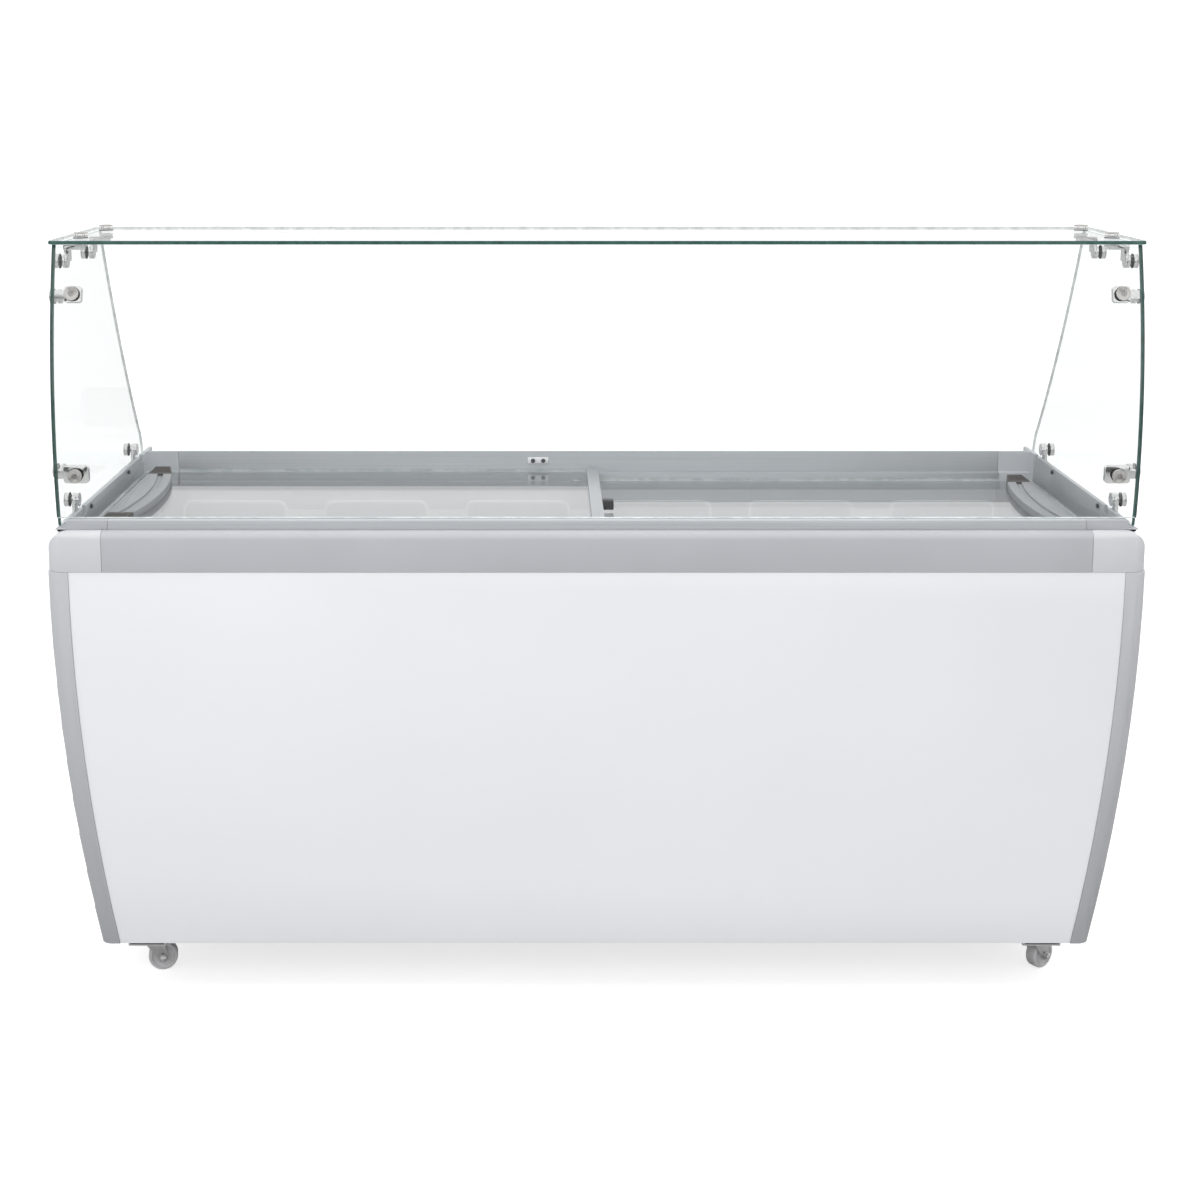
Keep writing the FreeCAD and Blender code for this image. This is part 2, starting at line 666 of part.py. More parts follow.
compressorFeet = [rod(13, compressorX + 80 * i, deep(compressorDepth) + 50 * k, (plateTop, plateTop + 11))
                  for i in (-1, 1) for k in (-1, 1)]
node("compressor", group(solid(compressor()), *compressorFeet))
condenserY = (deep(606), deep(648))
condenserCore = box((fanX - 122, fanX + 122), condenserY, (plateTop + 8, plateTop + 202))
finGaps = [box((fanX - 114 + 12 * i, fanX - 108 + 12 * i), (condenserY[0] - 1, condenserY[0] + 16),
               (plateTop + 14, plateTop + 196)) for i in range(19)]
condenserFeet = box((fanX - 110, fanX + 110), condenserY, (plateTop, plateTop + 8))
node("condenser", cut(fuse(condenserCore, condenserFeet), *finGaps))
motorY = (deep(505), deep(555))
motorCan = rod(38, fanX, motorY, fanZ)
motorShaft = rod(shaftRadius, fanX, (motorY[1] - 5, motorY[1] + 22), fanZ)
motorStand = box((fanX - 14, fanX + 14), (motorY[0] + 8, motorY[0] + 36), (plateTop, fanZ))
motorFoot = box((fanX - 45, fanX + 45), (motorY[0] - 4, motorY[0] + 48), (plateTop, plateTop + 3))
node("fan_motor", fuse(motorCan, motorShaft, motorStand, motorFoot))


def fan():
    """Five twisted blades on a hub with a running bore."""
    x, y, z = fanX.value, motorY[1].value + 4, fanZ.value
    hub = Part.makeCylinder(24, 16, Vector(x, y, z), Vector(0, 1, 0))
    blades = []
    for k in range(5):
        blade = Part.makeBox(44, 2.4, fanRadius.value - 20, Vector(-22, -1.2, 18))
        blade.rotate(Vector(), Vector(0, 0, 1), 24)
        blade = blade.common(Part.makeCylinder(fanRadius.value, 60, Vector(0, -30, 0), Vector(0, 1, 0)))
        blade.translate(Vector(x, y + 8, z))
        blade.rotate(Vector(x, y, z), Vector(0, 1, 0), 72 * k)
        blades.append(blade)
    whole = hub.fuse(blades)
    bore = Part.makeCylinder(shaftRadius.value + runningFit.value, 80, Vector(x, y - 30, z), Vector(0, 1, 0))
    return whole.cut(bore).removeSplitter()


node("fan_blade", solid(fan()))


def lines():
    """The discharge line to the condenser and the suction line up to the evaporator."""
    x, y = compressorX.value, deep(compressorDepth).value
    shell_side, pipe_r = x + 83.5, 4.0
    top, side = plateTop.value + 60, fanX.value + 122.3
    into = condenserY[0].value + 20
    discharge = pipe([Vector(shell_side + 6.5, y, top), Vector(side + 22, y, top),
                      Vector(side + 22, into, top), Vector(side, into, top)], pipe_r, 16)
    high = machineTopZ.value
    suction = pipe([Vector(x, y - 84 - 6.5, plateTop.value + 120), Vector(x, y - 118, plateTop.value + 120),
                    Vector(x, y - 118, high - 3)], pipe_r, 14)
    return Part.makeCompound([discharge, suction])


node("refrigerant_lines", solid(lines()))
grilleY = (-deep(5), -deep(1.5))
grillePlate = box((openingLow, openingHigh), grilleY, (grilleLowZ, grilleHighZ))
louvres = [box((openingLow + 16, openingHigh - 16), (grilleY[0] - 1, grilleY[1] + 1),
               (grilleLowZ + 14 + 14 * i, grilleLowZ + 21 + 14 * i)) for i in range(12)]
node("rear_grille", cut(grillePlate, *louvres))
controlY = (-deep(70), -deep(1.5))
faceY = -deep(18)
controlBlock = box((openingLow, openingHigh), controlY, (grilleHighZ + 2, controlHighZ))
controlRecess = box((openingLow + 12, openingHigh - 12), (faceY, halfDepth), (grilleHighZ + 12, controlHighZ - 10))
spindle = rod(3, knobX, (faceY - 2, faceY + 9), controlZ)
rockerWell = box((switchX - 15, switchX + 15), (faceY - 14, faceY + 1), (controlZ - 11, controlZ + 11))
node("control_box", fuse(cut(controlBlock, controlRecess, rockerWell), spindle))


def knob():
    """A round knob with a fluted rim and a pointer rib, on a blind running bore."""
    x, y, z = knobX.value, faceY.value + 0.5, controlZ.value
    body = Part.makeCylinder(knobRadius.value, 15.5, Vector(x, y, z), Vector(0, 1, 0))
    for k in range(12):
        angle = math.pi * k / 6
        spot = Vector(x + 20.5 * math.cos(angle), y + 4, z + 20.5 * math.sin(angle))
        body = body.cut(Part.makeCylinder(3.4, 20, spot, Vector(0, 1, 0)))
    rib = Part.makeBox(3, 1, 14, Vector(x - 1.5, y + 15.5, z + 2))
    bore = Part.makeCylinder(3 + runningFit.value, 9.5, Vector(x, y - 0.5, z), Vector(0, 1, 0))
    return body.fuse(rib).cut(bore).removeSplitter()


node("thermostat_knob", solid(knob()))


def rocker():
    """A rocker tipped to its on side, turning about a pin along X."""
    x, y, z = switchX.value, faceY.value, controlZ.value
    outline = [Vector(0, -4, -7.5), Vector(0, -4, 7.5), Vector(0, 3.6, 9.4), Vector(0, 1.6, 0),
               Vector(0, 3.6, -9.4)]
    body = Part.Face(Part.makePolygon(outline + outline[:1])).extrude(Vector(28.4, 0, 0))
    body.translate(Vector(x - 14.2, y, z))
    body.rotate(Vector(x, y, z), Vector(1, 0, 0), 8)
    return body


node("power_switch", solid(rocker()))
gland = fuse(rod(10, glandX, (faceY, faceY + 5), controlZ), rod(7, glandX, (faceY + 5, faceY + 15), controlZ))
node("cord_gland", cut(gland, rod(3.6, glandX, (faceY - 1, faceY + 16), controlZ)))
drainPipe = rod(drainBore + 1.5, drainX, 0, (casterTopZ + 3, linerFloorZ))
drainHollow = rod(drainBore, drainX, 0, (casterTopZ + 2, linerFloorZ + 1))
node("drain_tube", cut(drainPipe, drainHollow))
plugCap = rod(18, drainX, 0, (linerFloorZ + 0.2, linerFloorZ + 4))
plugStem = rod(drainBore - 0.3, drainX, 0, (linerFloorZ - 20, linerFloorZ + 1))
plugRing = cut(rod(7, drainX, 0, (linerFloorZ + 3, linerFloorZ + 9)),
               rod(4, drainX, 0, (linerFloorZ + 5, linerFloorZ + 10)))
node("drain_plug", fuse(plugCap, plugStem, plugRing))

# ---- canopy glass
arcY = deep(glassFront + glassRadius)


def glass_ring(outer, inner, x):
    return cut(rod(outer, x, arcY, glassCentreZ), rod(inner, (x[0] - 1, x[1] + 1), arcY, glassCentreZ))


frontWindow = box((-glassHalf, glassHalf), (deep(0), deep(120)), (collarTopZ + 0.5, glassTopZ - 0.5))
node("front_glass", common(frontWindow, glass_ring(glassRadius, glassRadius - glassThick, (-glassHalf, glassHalf))))
node("top_glass", pad(
    "XY", [(-topHalf, deep(topFront)), (topHalf, deep(topFront)), (topHalf, deep(topRear)),
           (-topHalf, deep(topRear))], glassTopZ, glassTopZ + topThick,
    rounds=[(6, side * topHalf, deep(at)) for side in (-1, 1) for at in (topFront, topRear)]))


def side_glass():
    """The side pane: an arc in front, a sloping rear edge that eases upright at its foot."""
    inner = glassRadius.value - glassThick.value - seam.value
    low, high = glassFootZ.value, glassTopZ.value - 0.5
    centre_y, centre_z = arcY.value, glassCentreZ.value
    front = -halfDepth.value

    def on_arc(z):
        return Vector(0, centre_y - math.sqrt(inner ** 2 - (z - centre_z) ** 2), z)

    top_rear, bend, foot = Vector(0, front + 392, high), Vector(0, front + 645, 859), Vector(0, front + 674, low)
    curves = [Part.Arc(on_arc(low), on_arc((low + high) / 2), on_arc(high)),
              Part.LineSegment(on_arc(high), top_rear),
              Part.Arc(top_rear, Vector(0, front + 524, 1030), bend),
              Part.Arc(bend, Vector(0, front + 665, 832), foot),
              Part.LineSegment(foot, on_arc(low))]
    face = Part.Face(Part.Wire([curve.toShape() for curve in curves]))
    pane = face.extrude(Vector(glassThick.value, 0, 0))
    pane.translate(Vector(glassHalf.value - glassThick.value, 0, 0))
    return pane


rightGlass = node("right_side_glass", solid(side_glass()))
node("left_side_glass", twin(rightGlass, acrossX))

# ---- canopy hardware
innerFace = glassHalf - glassThick


def top_clamp(at):
    """A right-angle clamp under the top glass, with a disc outside each pane."""
    y, sideZ = deep(at), glassTopZ - 32
    under = rod(clampDisc, clampTopX, y, (glassTopZ - 8, glassTopZ))
    beside = rod(clampDisc, (innerFace - 8, innerFace), y, sideZ)
    arm = box((clampTopX - 6, innerFace - 2), (y - 7, y + 7), (glassTopZ - 13, glassTopZ - 5))
    drop = box((innerFace - 12, innerFace - 3), (y - 7, y + 7), (sideZ, glassTopZ - 6))
    disc = rod(clampDisc, clampTopX, y, (glassTopZ + topThick, glassTopZ + topThick + 8))
    outside = rod(clampDisc, (glassHalf, glassHalf + 7), y, sideZ)
    return [fuse(under, beside, arm, drop), disc, outside]


rightTops = top_clamp(120) + top_clamp(300)
node("top_clamps", group(*rightTops, *[twin(part, acrossX) for part in rightTops]))


def front_clamp(height, wide, high):
    """A clamp that holds the front pane to the side pane, tipped to the front pane's slope."""
    centre = Vector(0, arcY.value, glassCentreZ.value)
    tip = math.degrees(math.asin((height - glassCentreZ.value) / glassRadius.value))
    outer = deep(glassFront).value
    inner = outer + glassThick.value
    x, z, disc = clampTopX.value, glassCentreZ.value, clampDisc.value
    block = Part.makeBox(wide, 9, high, Vector(x - wide / 2, inner + 0.2, z - high / 2))
    uprights = [edge for edge in block.Edges if edge.BoundBox.YLength > 8 and edge.BoundBox.XLength < 1
                and edge.BoundBox.ZLength < 1]
    block = block.makeFillet(5, uprights)
    wall = innerFace.value
    arm = Part.makeBox(wall - x, 8, 14, Vector(x, inner + 1, z - 7))
    ear = Part.makeBox(6, 26, 14, Vector(wall - 6, inner + 1, z - 7))
    seat = Part.makeCylinder(disc, 6, Vector(wall - 6, inner + 27, z), Vector(1, 0, 0))
    bracket = block.fuse([arm, ear, seat])
    front_disc = Part.makeCylinder(disc, 5, Vector(x, outer - 5, z), Vector(0, 1, 0))
    side_disc = Part.makeCylinder(disc, 6, Vector(glassHalf.value, inner + 27, z), Vector(1, 0, 0))
    shapes = [bracket.removeSplitter(), front_disc, side_disc]
    for shape in shapes:
        shape.rotate(centre, Vector(1, 0, 0), -tip)
    return [solid(shape) for shape in shapes]


rightFronts = front_clamp(1184, 28, 27) + front_clamp(889, 41, 29)
node("front_clamps", group(*rightFronts, *[twin(part, acrossX) for part in rightFronts]))


def base_post(at):
    """A bar screwed to the collar that holds the side pane between two discs."""
    y, discZ = deep(at), glassFootZ + 25.5
    bar = box((innerFace - 5, innerFace), (y - 9, y + 9), (bandTopZ - 25, discZ + 9))
    boss = rod(clampDisc, (innerFace - 11, innerFace), y, discZ)
    foot = box((collarHalf + 4, innerFace - 4), (y - 9, y + 9), (bandTopZ - 25, bandTopZ - 3))
    disc = rod(clampDisc, (glassHalf, glassHalf + 7), y, discZ)
    return [fuse(bar, boss, foot), disc]


rightPosts = base_post(postFront) + base_post(postRear)
node("base_posts", group(*rightPosts, *[twin(part, acrossX) for part in rightPosts]))

# ---- collar trimmings
railScrews = [rod(4, (collarHalf - 2, collarHalf), deep(at), collarTopZ - 8) for at in (160, 450)]
stopPlate = box((-118, -78), (deep(wallRear - 3), deep(wallRear)), (792, 804))
node("lid_stop", stopPlate)
stopScrews = [rod(3.2, x, (deep(wallRear - 5), deep(wallRear - 3)), 798) for x in (-108, -88)]
node("collar_screws", group(*railScrews, *[twin(screw, acrossX) for screw in railScrews], *stopScrews))


# ---- lids
def lid(name, side, levelZ, y, edgeX, edgeZ, edgeY):
    """A lid: side is -1 for the left lid and 1 for the right; X values are for its own side."""
    def span(low, high):
        return (low, high) if side > 0 else (-as_dim(high), -as_dim(low))

    end = collarHalf - 1
    pane = box(span(edgeX[0] + 4, end), y, (levelZ, levelZ + lidGlass))
    node(name + "_lid_glass", pane)
    rail = box(span(*edgeX), edgeY, edgeZ)
    slot = box(span(edgeX[0] + 4, edgeX[1] + 1), (edgeY[0] - 1, edgeY[1] + 1), (levelZ, levelZ + lidGlass))
    node(name + "_lid_edge", cut(rail, slot))
    top = levelZ + lidGlass
    middle = deep(handleMid)
    reach = handleLong / 2
    leafBox = box(span(handleInnerX, handleOuterX), (middle - reach, middle + reach), (top, top + handleHigh))
    centre = (handleInnerX + handleRadius) * side
    leaf = common(leafBox, rod(handleRadius, centre, middle, (top, top + handleHigh)))
    groove = cut(rod(handleRadius - 16, centre, middle, (top + handleHigh - 4, top + handleHigh + 1)),
                 rod(handleRadius - 26, centre, middle, (top + handleHigh - 5, top + handleHigh + 2)))
    ends = [box(span(handleInnerX - 20, handleOuterX + 20), grip, (top - 1, top + handleHigh + 1))
            for grip in ((middle - reach - 1, middle - reach + gripLong),
                         (middle + reach - gripLong, middle + reach + 1))]
    node(name + "_lid_handle", cut(leaf, groove, *ends))
    node(name + "_lid_grips", group(*[common(leaf, block) for block in ends]))


upperY = (deep(wallFront + 1), deep(wallRear - 1))
lowerY = (deep(ledgeUp + 1), deep(rearUp - 1))
midY = (deep(ledgeLow + 1), deep(rearLow - 1))
lid("left", -1, upperLidZ, upperY, (-18, 4), (upperLidZ - 7.5, upperLidZ + lidGlass + 5), lowerY)
lid("right", 1, lowerLidZ, lowerY, (-4, 12), (lowerLidZ - 4, lowerLidZ + lidGlass + 2.5), midY)

# ---- lid lock on the upper lid's edge
lockY = deep(307)
lockBlock = box((18.1, 38), (lockY - 9, lockY + 9), (upperLidZ - 6, upperLidZ + 11))
lockBore = rod(5 + runningFit, (22, 39), lockY, upperLidZ + 3)
node("lock_body", cut(lockBlock, lockBore))
plug = rod(5, (22.2, 39.5), lockY, upperLidZ + 3)
keyway = box((36, 40), (lockY - 0.8, lockY + 0.8), (upperLidZ, upperLidZ + 6))
node("lock_plug", cut(plug, keyway))

# ---- check and write
doc.recompute()
for thing in doc.Objects:
    if "Invalid" in thing.State or "Error" in thing.State:
        raise RuntimeError(f"{thing.Name} ({thing.Label}) is {thing.State}")
for label, thing in nodes.items():
    if thing.Shape.isNull() or not thing.Shape.isValid() or thing.Shape.Volume < 1:
        raise RuntimeError(f"{label} has no valid shape")
os.makedirs("parts", exist_ok=True)
for label, thing in nodes.items():
    thing.Shape.exportStep(f"parts/{label}.step")
    count = len(thing.Shape.Solids)
    print(f"{label}: {count} solid(s), {thing.Shape.Volume / 1000:.1f} cm3", flush=True)
print(len(nodes), "nodes", flush=True)
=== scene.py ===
import json
import math

import bpy
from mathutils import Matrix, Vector


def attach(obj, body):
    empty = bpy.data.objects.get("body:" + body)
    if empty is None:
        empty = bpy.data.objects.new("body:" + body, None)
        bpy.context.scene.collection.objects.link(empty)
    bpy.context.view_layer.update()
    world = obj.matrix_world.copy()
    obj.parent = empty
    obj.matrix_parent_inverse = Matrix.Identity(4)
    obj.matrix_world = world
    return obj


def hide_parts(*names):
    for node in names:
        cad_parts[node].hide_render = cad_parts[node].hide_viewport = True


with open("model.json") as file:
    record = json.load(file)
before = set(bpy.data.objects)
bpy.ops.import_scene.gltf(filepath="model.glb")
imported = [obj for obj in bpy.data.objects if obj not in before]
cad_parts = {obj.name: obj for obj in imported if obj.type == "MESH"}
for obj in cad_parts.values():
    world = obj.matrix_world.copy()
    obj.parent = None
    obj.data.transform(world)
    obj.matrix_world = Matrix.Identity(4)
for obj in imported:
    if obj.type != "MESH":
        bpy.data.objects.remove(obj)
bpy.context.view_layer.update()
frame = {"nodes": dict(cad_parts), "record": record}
nodes = frame["nodes"]
bodyOf = {node: body for body, held in frame["record"]["behaviour"]["bodies"].items() for node in held}
lids = ("left", "right")
corners = ("front_left", "front_right", "rear_left", "rear_right")
print("frame loaded:", len(nodes), "nodes")

# the view: a slightly raised eye on the customer's side, tilt in degrees down
camera = {"place": (-0.085, -3.298, 1.5), "tilt": 9.14, "lens": 55.9, "shift": (0.046, -0.17), "reach": 60}
level = math.radians(90)
bpy.ops.object.camera_add(location=camera["place"], rotation=(level - math.radians(camera["tilt"]), 0, 0))
eye = bpy.context.object
eye.data.lens = camera["lens"]
eye.data.shift_x, eye.data.shift_y = camera["shift"]
eye.data.clip_end = camera["reach"]
bpy.context.scene.camera = eye
bpy.context.scene.view_settings.view_transform = "Standard"

cardTurn = math.radians(39)
studio = {
    "seenWorld": 1.06, "litWorld": 0.82,
    "floor": (0.58, 0.58, 0.58), "floorGlow": 0.7, "floorSize": 60,
    # black cards: place, turn, size
    "cards": [
        ((0, -7, 0.4), (level, 0, 0), (5, 1.4)),
        ((0, -2.6, 4.6), (0, 0, 0), (1.2, 1.2)),
        ((-5, -1.5, 1.2), (0, level, 0), (1.4, 1.2)),
        ((5, -1.5, 1.2), (0, level, 0), (1.4, 1.2)),
        ((-3.4, -4.2, 1.3), (level, 0, -cardTurn), (0.6, 3.0)),
        ((3.4, -4.2, 1.3), (level, 0, cardTurn), (0.6, 3.0)),
    ],
    "lamps": {
        "topSoftbox": {"place": (0, -0.4, 3.6), "aim": (0, 0, 0.8), "size": (4.4, 2.6), "power": 50},
        "frontSoftbox": {"place": (-0.2, -4.4, 3.5), "aim": (0, -0.3, 0.75), "size": (4.0, 1.8), "power": 46},
        "sideSoftbox": {"place": (-3.4, -1.6, 1.9), "aim": (-0.8, 0, 0.7), "size": (2.0, 2.2), "power": 8},
        "rearSoftbox": {"place": (1.2, 3.8, 2.6), "aim": (0, 0.3, 0.7), "size": (3.6, 2.2), "power": 28},
    },
}


def paint(thing, material):
    thing.data.materials.clear()
    thing.data.materials.append(material)


def lightWorld():
    # white where it is seen or mirrored, a little dimmer where it lights the cabinet
    world = bpy.data.worlds.new("studioWorld")
    world.use_nodes = True
    tree = world.node_tree
    lit = tree.nodes["Background"]
    seen = tree.nodes.new("ShaderNodeBackground")
    for background, strength in ((lit, studio["litWorld"]), (seen, studio["seenWorld"])):
        background.inputs["Color"].default_value = (1, 1, 1, 1)
        background.inputs["Strength"].default_value = strength
    path = tree.nodes.new("ShaderNodeLightPath")
    either = tree.nodes.new("ShaderNodeMath")
    either.operation = "MAXIMUM"
    tree.links.new(path.outputs["Is Camera Ray"], either.inputs[0])
    tree.links.new(path.outputs["Is Glossy Ray"], either.inputs[1])
    mix = tree.nodes.new("ShaderNodeMixShader")
    tree.links.new(either.outputs["Value"], mix.inputs["Fac"])
    tree.links.new(lit.outputs["Background"], mix.inputs[1])
    tree.links.new(seen.outputs["Background"], mix.inputs[2])
    tree.links.new(mix.outputs["Shader"], tree.nodes["World Output"].inputs["Surface"])
    bpy.context.scene.world = world


def hangLamps():
    for name, lamp in studio["lamps"].items():
        place = Vector(lamp["place"])
        turn = (Vector(lamp["aim"]) - place).to_track_quat("-Z", "Y").to_euler()
        bpy.ops.object.light_add(type="AREA", location=place, rotation=turn)
        light = bpy.context.object
        light.name = name
        light.data.shape = "RECTANGLE"
        light.data.size, light.data.size_y = lamp["size"]
        light.data.energy = lamp["power"]
        light.visible_glossy = False


def standCards(black):
    # only mirror-like surfaces see the cards, for contrast in the metal
    for number, (place, turn, size) in enumerate(studio["cards"]):
        bpy.ops.mesh.primitive_plane_add(size=1, location=place, rotation=turn)
        card = bpy.context.object
        card.name = f"studioCard{number + 1}"
        card.scale = (*size, 1)
        card.visible_camera = card.visible_diffuse = card.visible_shadow = card.visible_transmission = False
        paint(card, black)


def layFloor(pale):
    bpy.ops.mesh.primitive_plane_add(size=studio["floorSize"], location=(0, 0, 0))
    floor = bpy.context.object
    floor.name = "studioFloor"
    paint(floor, pale)
    # the floor looks whiter than the light it throws back
    tree = pale.node_tree
    shader = tree.nodes["Principled BSDF"]
    shader.inputs["Emission Color"].default_value = (1, 1, 1, 1)
    glow = tree.nodes.new("ShaderNodeMath")
    glow.operation = "MULTIPLY"
    glow.inputs[1].default_value = studio["floorGlow"]
    tree.links.new(tree.nodes.new("ShaderNodeLightPath").outputs["Is Camera Ray"], glow.inputs[0])
    tree.links.new(glow.outputs["Value"], shader.inputs["Emission Strength"])


# finishes: each maker has its own settings, scales are per metre
def startFinish(name):
    material = bpy.data.materials.new(name)
    material.use_nodes = True
    tree = material.node_tree
    return material, tree, tree.nodes["Principled BSDF"]


def stretchedNoise(tree, scale, stretch=(1, 1, 1), detail=2.0):
    place = tree.nodes.new("ShaderNodeTexCoord")
    mapping = tree.nodes.new("ShaderNodeMapping")
    mapping.inputs["Scale"].default_value = stretch
    noise = tree.nodes.new("ShaderNodeTexNoise")
    noise.inputs["Scale"].default_value = scale
    noise.inputs["Detail"].default_value = detail
    tree.links.new(place.outputs["Object"], mapping.inputs["Vector"])
    tree.links.new(mapping.outputs["Vector"], noise.inputs["Vector"])
    return noise.outputs["Fac"]


def shade(colour, amount):
    return tuple(max(0.0, min(1.0, part * amount)) for part in colour)


def driftColour(tree, shader, factor, colour, shares, spread=(0.35, 0.65)):
    # the colour drifts between a darker and a lighter share of itself
    ramp = tree.nodes.new("ShaderNodeValToRGB")
    for element, share, position in zip(ramp.color_ramp.elements, shares, spread):
        element.position = position
        element.color = (*shade(colour, share), 1)
    tree.links.new(factor, ramp.inputs["Fac"])
    tree.links.new(ramp.outputs["Color"], shader.inputs["Base Color"])


def driftRoughness(tree, shader, factor, low, high):
    spread = tree.nodes.new("ShaderNodeMapRange")
    spread.inputs["To Min"].default_value = low
    spread.inputs["To Max"].default_value = high
    tree.links.new(factor, spread.inputs["Value"])
    tree.links.new(spread.outputs["Result"], shader.inputs["Roughness"])


def addRelief(tree, shader, factor, strength, distance):
    bump = tree.nodes.new("ShaderNodeBump")
    bump.inputs["Strength"].default_value = strength
    bump.inputs["Distance"].default_value = distance
    tree.links.new(factor, bump.inputs["Height"])
    tree.links.new(bump.outputs["Normal"], shader.inputs["Normal"])


sheetLook = {"mottle": 1.6, "shares": (0.985, 1.01), "haze": 9, "roughness": (0.3, 0.4),
             "peel": 260, "peelStrength": 0.12, "peelDepth": 0.0004, "coat": 0.25, "coatRoughness": 0.2}


def coatedSteel(name, colour):
    # pre-coated sheet: faint mottling, a soft orange peel
    material, tree, shader = startFinish(name)
    driftColour(tree, shader, stretchedNoise(tree, sheetLook["mottle"]), colour, sheetLook["shares"])
    driftRoughness(tree, shader, stretchedNoise(tree, sheetLook["haze"]), *sheetLook["roughness"])
    peel = stretchedNoise(tree, sheetLook["peel"], detail=1)
    addRelief(tree, shader, peel, sheetLook["peelStrength"], sheetLook["peelDepth"])
    shader.inputs["Coat Weight"].default_value = sheetLook["coat"]
    shader.inputs["Coat Roughness"].default_value = sheetLook["coatRoughness"]
    return material


plasticLook = {"drift": 5, "shares": (0.97, 1.03), "haze": 30, "grainDepth": 0.0002}


def mouldedPlastic(name, colour, roughness=(0.38, 0.5), grain=1400, strength=0.25):
    # fine spark-eroded grain, with slow drift in tone
    material, tree, shader = startFinish(name)
    driftColour(tree, shader, stretchedNoise(tree, plasticLook["drift"]), colour, plasticLook["shares"])
    driftRoughness(tree, shader, stretchedNoise(tree, plasticLook["haze"]), *roughness)
    addRelief(tree, shader, stretchedNoise(tree, grain, detail=3), strength, plasticLook["grainDepth"])
    return material


metalLook = {"shares": (0.92, 1.06), "spread": (0.3, 0.7), "detail": 4, "lineDepth": 0.0001}


def brushedMetal(name, colour, stretch, roughness=(0.28, 0.42), metallic=1.0, strength=0.15):
    # drawn or brushed lines run along the axis with the small stretch
    material, tree, shader = startFinish(name)
    lines = stretchedNoise(tree, 1, stretch, metalLook["detail"])
    driftColour(tree, shader, lines, colour, metalLook["shares"], metalLook["spread"])
    driftRoughness(tree, shader, lines, *roughness)
    addRelief(tree, shader, lines, strength, metalLook["lineDepth"])
    shader.inputs["Metallic"].default_value = metallic
    return material


rubberLook = {"drift": 40, "shares": (0.9, 1.1), "haze": 120, "roughness": (0.55, 0.7),
              "grain": 900, "grainStrength": 0.2, "grainDepth": 0.0002}


def softRubber(name, colour):
    material, tree, shader = startFinish(name)
    driftColour(tree, shader, stretchedNoise(tree, rubberLook["drift"]), colour, rubberLook["shares"])
    driftRoughness(tree, shader, stretchedNoise(tree, rubberLook["haze"]), *rubberLook["roughness"])
    grain = stretchedNoise(tree, rubberLook["grain"])
    addRelief(tree, shader, grain, rubberLook["grainStrength"], rubberLook["grainDepth"])
    return material


paneLook = {"roughness": 0.02, "blend": 0.5, "steepness": 4, "smear": 3.5}


def clearPane(name, tint, headOn, slanted):
    # thin sheet: sees straight through, with a sheen that grows at a slant
    material = bpy.data.materials.new(name)
    material.use_nodes = True
    tree = material.node_tree
    tree.nodes.remove(tree.nodes["Principled BSDF"])
    through = tree.nodes.new("ShaderNodeBsdfTransparent")
    through.inputs["Color"].default_value = (*tint, 1)
    sheen = tree.nodes.new("ShaderNodeBsdfGlossy")
    sheen.inputs["Roughness"].default_value = paneLook["roughness"]
    facing = tree.nodes.new("ShaderNodeLayerWeight")
    facing.inputs["Blend"].default_value = paneLook["blend"]
    steep = tree.nodes.new("ShaderNodeMath")
    steep.operation = "POWER"
    steep.inputs[1].default_value = paneLook["steepness"]
    tree.links.new(facing.outputs["Facing"], steep.inputs[0])
    share = tree.nodes.new("ShaderNodeMath")
    share.operation = "MULTIPLY_ADD"
    share.inputs[1].default_value = slanted
    share.inputs[2].default_value = headOn
    tree.links.new(steep.outputs["Value"], share.inputs[0])
    # a faint smear in the sheen, as on wiped glass
    smear = tree.nodes.new("ShaderNodeMath")
    smear.operation = "MULTIPLY_ADD"
    smear.inputs[1].default_value = headOn
    tree.links.new(stretchedNoise(tree, paneLook["smear"]), smear.inputs[0])
    tree.links.new(share.outputs["Value"], smear.inputs[2])
    mix = tree.nodes.new("ShaderNodeMixShader")
    tree.links.new(smear.outputs["Value"], mix.inputs["Fac"])
    tree.links.new(through.outputs["BSDF"], mix.inputs[1])
    tree.links.new(sheen.outputs["BSDF"], mix.inputs[2])
    tree.links.new(mix.outputs["Shader"], tree.nodes["Material Output"].inputs["Surface"])
    return material


edgeLook = {"drift": 60, "shares": (0.8, 1.2), "roughness": 0.12, "clear": 0.25}


def glassEdge(name, colour):
    # the tone of a ground edge
    material, tree, shader = startFinish(name)
    driftColour(tree, shader, stretchedNoise(tree, edgeLook["drift"]), colour, edgeLook["shares"])
    shader.inputs["Roughness"].default_value = edgeLook["roughness"]
    shader.inputs["Transmission Weight"].default_value = edgeLook["clear"]
    return material


def paintShadeDown(material, colour, paintedShadeShare, top, foot):
    # painted shade: the colour darkens with height towards the foot, standing in for light that falls off lower
    # down, mixed with the slow mottling
    tree = material.node_tree
    shader = tree.nodes["Principled BSDF"]
    mottled = shader.inputs["Base Color"].links[0].from_socket
    place = tree.nodes.new("ShaderNodeTexCoord")
    split = tree.nodes.new("ShaderNodeSeparateXYZ")
    tree.links.new(place.outputs["Object"], split.inputs["Vector"])
    height = tree.nodes.new("ShaderNodeMapRange")
    height.inputs["From Min"].default_value = foot
    height.inputs["From Max"].default_value = top
    height.inputs["To Min"].default_value = 1
    height.inputs["To Max"].default_value = 0
    tree.links.new(split.outputs["Z"], height.inputs["Value"])
    mix = tree.nodes.new("ShaderNodeMix")
    mix.data_type = "RGBA"
    mix.inputs["B"].default_value = (*shade(colour, paintedShadeShare), 1)
    tree.links.new(height.outputs["Result"], mix.inputs["Factor"])
    tree.links.new(mottled, mix.inputs["A"])
    tree.links.new(mix.outputs["Result"], shader.inputs["Base Color"])


